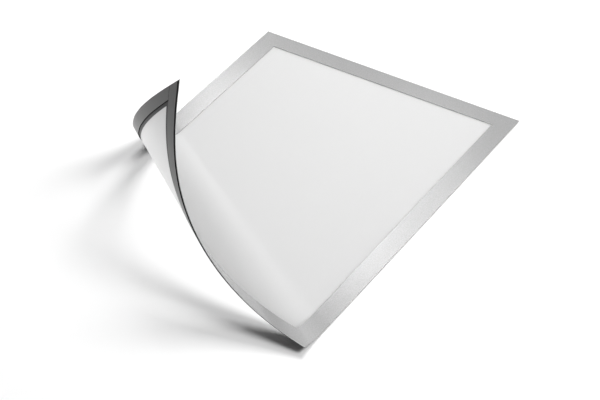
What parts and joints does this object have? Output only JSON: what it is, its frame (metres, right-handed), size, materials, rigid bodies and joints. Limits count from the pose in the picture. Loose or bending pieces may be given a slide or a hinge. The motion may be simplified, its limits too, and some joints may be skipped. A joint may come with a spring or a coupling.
{
  "type": "magnetic photo frame",
  "caption": "Flexible magnetic photo frame for a page, with a satin silver border, a clear matte window and dark magnetic strips behind it, its lower corner peeled up into a curl.",
  "frame": {"origin": "centre of the flat back, on the plane that the magnetic strips lie on", "axes": "+Z out of the front face, +Y towards the top edge of the page, +X to the right seen from the front; the lower left corner is peeled up"},
  "size_m": [0.2363, 0.3226, 0.1161],
  "materials": {
    "silver_border": "satin silver face and cut edges, black rear",
    "clear_film": "clear film with a fine matte surface",
    "magnetic_rubber": "dark grey, calendered"
  },
  "bodies": {
    "panel": {"front_border": "silver_border", "magnet_strip_left": "magnetic_rubber", "magnet_strip_right": "magnetic_rubber", "magnet_strip_top": "magnetic_rubber", "window_film": "clear_film"},
    "curl_01": {"front_border_curl_01": "silver_border", "magnet_strip_left_curl_01": "magnetic_rubber", "magnet_strip_right_curl_01": "magnetic_rubber", "window_film_curl_01": "clear_film"},
    "curl_02": {"front_border_curl_02": "silver_border", "magnet_strip_bottom_curl_02": "magnetic_rubber", "magnet_strip_left_curl_02": "magnetic_rubber", "magnet_strip_right_curl_02": "magnetic_rubber", "window_film_curl_02": "clear_film"},
    "curl_03": {"front_border_curl_03": "silver_border", "magnet_strip_bottom_curl_03": "magnetic_rubber", "magnet_strip_left_curl_03": "magnetic_rubber", "window_film_curl_03": "clear_film"},
    "curl_04": {"front_border_curl_04": "silver_border", "magnet_strip_bottom_curl_04": "magnetic_rubber", "magnet_strip_left_curl_04": "magnetic_rubber", "window_film_curl_04": "clear_film"},
    "curl_05": {"front_border_curl_05": "silver_border", "magnet_strip_bottom_curl_05": "magnetic_rubber", "magnet_strip_left_curl_05": "magnetic_rubber", "window_film_curl_05": "clear_film"},
    "curl_06": {"front_border_curl_06": "silver_border", "magnet_strip_bottom_curl_06": "magnetic_rubber", "magnet_strip_left_curl_06": "magnetic_rubber", "window_film_curl_06": "clear_film"},
    "curl_07": {"front_border_curl_07": "silver_border", "magnet_strip_bottom_curl_07": "magnetic_rubber", "magnet_strip_left_curl_07": "magnetic_rubber", "window_film_curl_07": "clear_film"},
    "curl_08": {"front_border_curl_08": "silver_border", "magnet_strip_bottom_curl_08": "magnetic_rubber", "magnet_strip_left_curl_08": "magnetic_rubber", "window_film_curl_08": "clear_film"},
    "curl_09": {"front_border_curl_09": "silver_border", "magnet_strip_bottom_curl_09": "magnetic_rubber", "magnet_strip_left_curl_09": "magnetic_rubber", "window_film_curl_09": "clear_film"},
    "curl_10": {"front_border_curl_10": "silver_border", "magnet_strip_bottom_curl_10": "magnetic_rubber", "magnet_strip_left_curl_10": "magnetic_rubber", "window_film_curl_10": "clear_film"},
    "curl_11": {"front_border_curl_11": "silver_border", "magnet_strip_bottom_curl_11": "magnetic_rubber", "magnet_strip_left_curl_11": "magnetic_rubber", "window_film_curl_11": "clear_film"}
  },
  "joints": [
    {"name": "corner_fold_01", "type": "hinge", "parent": "panel", "child": "curl_01", "pos_m": [-0.0217, -0.04816, 0.001], "axis": [-0.8392, 0.5438, 0], "range_deg": [-11.12, 5]},
    {"name": "corner_fold_02", "type": "hinge", "parent": "curl_01", "child": "curl_02", "pos_m": [-0.02894, -0.05664, 0.00317], "axis": [-0.8281, 0.5606, -0.004], "range_deg": [-11.12, 5]},
    {"name": "corner_fold_03", "type": "hinge", "parent": "curl_02", "child": "curl_03", "pos_m": [-0.03583, -0.06459, 0.00744], "axis": [-0.8172, 0.5762, -0.0117], "range_deg": [-11.12, 5]},
    {"name": "corner_fold_04", "type": "hinge", "parent": "curl_03", "child": "curl_04", "pos_m": [-0.04215, -0.07169, 0.01365], "axis": [-0.8071, 0.59, -0.023], "range_deg": [-11.12, 5]},
    {"name": "corner_fold_05", "type": "hinge", "parent": "curl_04", "child": "curl_05", "pos_m": [-0.04769, -0.07766, 0.02156], "axis": [-0.798, 0.6015, -0.0374], "range_deg": [-11.12, 5]},
    {"name": "corner_fold_06", "type": "hinge", "parent": "curl_05", "child": "curl_06", "pos_m": [-0.05226, -0.08225, 0.03089], "axis": [-0.7903, 0.6103, -0.0543], "range_deg": [-11.12, 5]},
    {"name": "corner_fold_07", "type": "hinge", "parent": "curl_06", "child": "curl_07", "pos_m": [-0.0557, -0.08528, 0.04128], "axis": [-0.7844, 0.616, -0.0731], "range_deg": [-11.12, 5]},
    {"name": "corner_fold_08", "type": "hinge", "parent": "curl_07", "child": "curl_08", "pos_m": [-0.05788, -0.08663, 0.05234], "axis": [-0.7804, 0.6184, -0.0931], "range_deg": [-11.12, 5]},
    {"name": "corner_fold_09", "type": "hinge", "parent": "curl_08", "child": "curl_09", "pos_m": [-0.05872, -0.08626, 0.06367], "axis": [-0.7784, 0.6174, -0.1136], "range_deg": [-11.12, 5]},
    {"name": "corner_fold_10", "type": "hinge", "parent": "curl_09", "child": "curl_10", "pos_m": [-0.05811, -0.08386, 0.07648], "axis": [-0.7787, 0.6124, -0.1366], "range_deg": [-11.12, 5]},
    {"name": "corner_fold_11", "type": "hinge", "parent": "curl_10", "child": "curl_11", "pos_m": [-0.05493, -0.0777, 0.09411], "axis": [-0.7824, 0.5996, -0.1682], "range_deg": [-11.12, 5]}
  ],
  "couplings": [
    {"joint": "corner_fold_02", "follows": "corner_fold_01", "ratio": 1},
    {"joint": "corner_fold_03", "follows": "corner_fold_01", "ratio": 1},
    {"joint": "corner_fold_04", "follows": "corner_fold_01", "ratio": 1},
    {"joint": "corner_fold_05", "follows": "corner_fold_01", "ratio": 1},
    {"joint": "corner_fold_06", "follows": "corner_fold_01", "ratio": 1},
    {"joint": "corner_fold_07", "follows": "corner_fold_01", "ratio": 1},
    {"joint": "corner_fold_08", "follows": "corner_fold_01", "ratio": 1},
    {"joint": "corner_fold_09", "follows": "corner_fold_01", "ratio": 1},
    {"joint": "corner_fold_10", "follows": "corner_fold_01", "ratio": 1},
    {"joint": "corner_fold_11", "follows": "corner_fold_01", "ratio": 1}
  ]
}
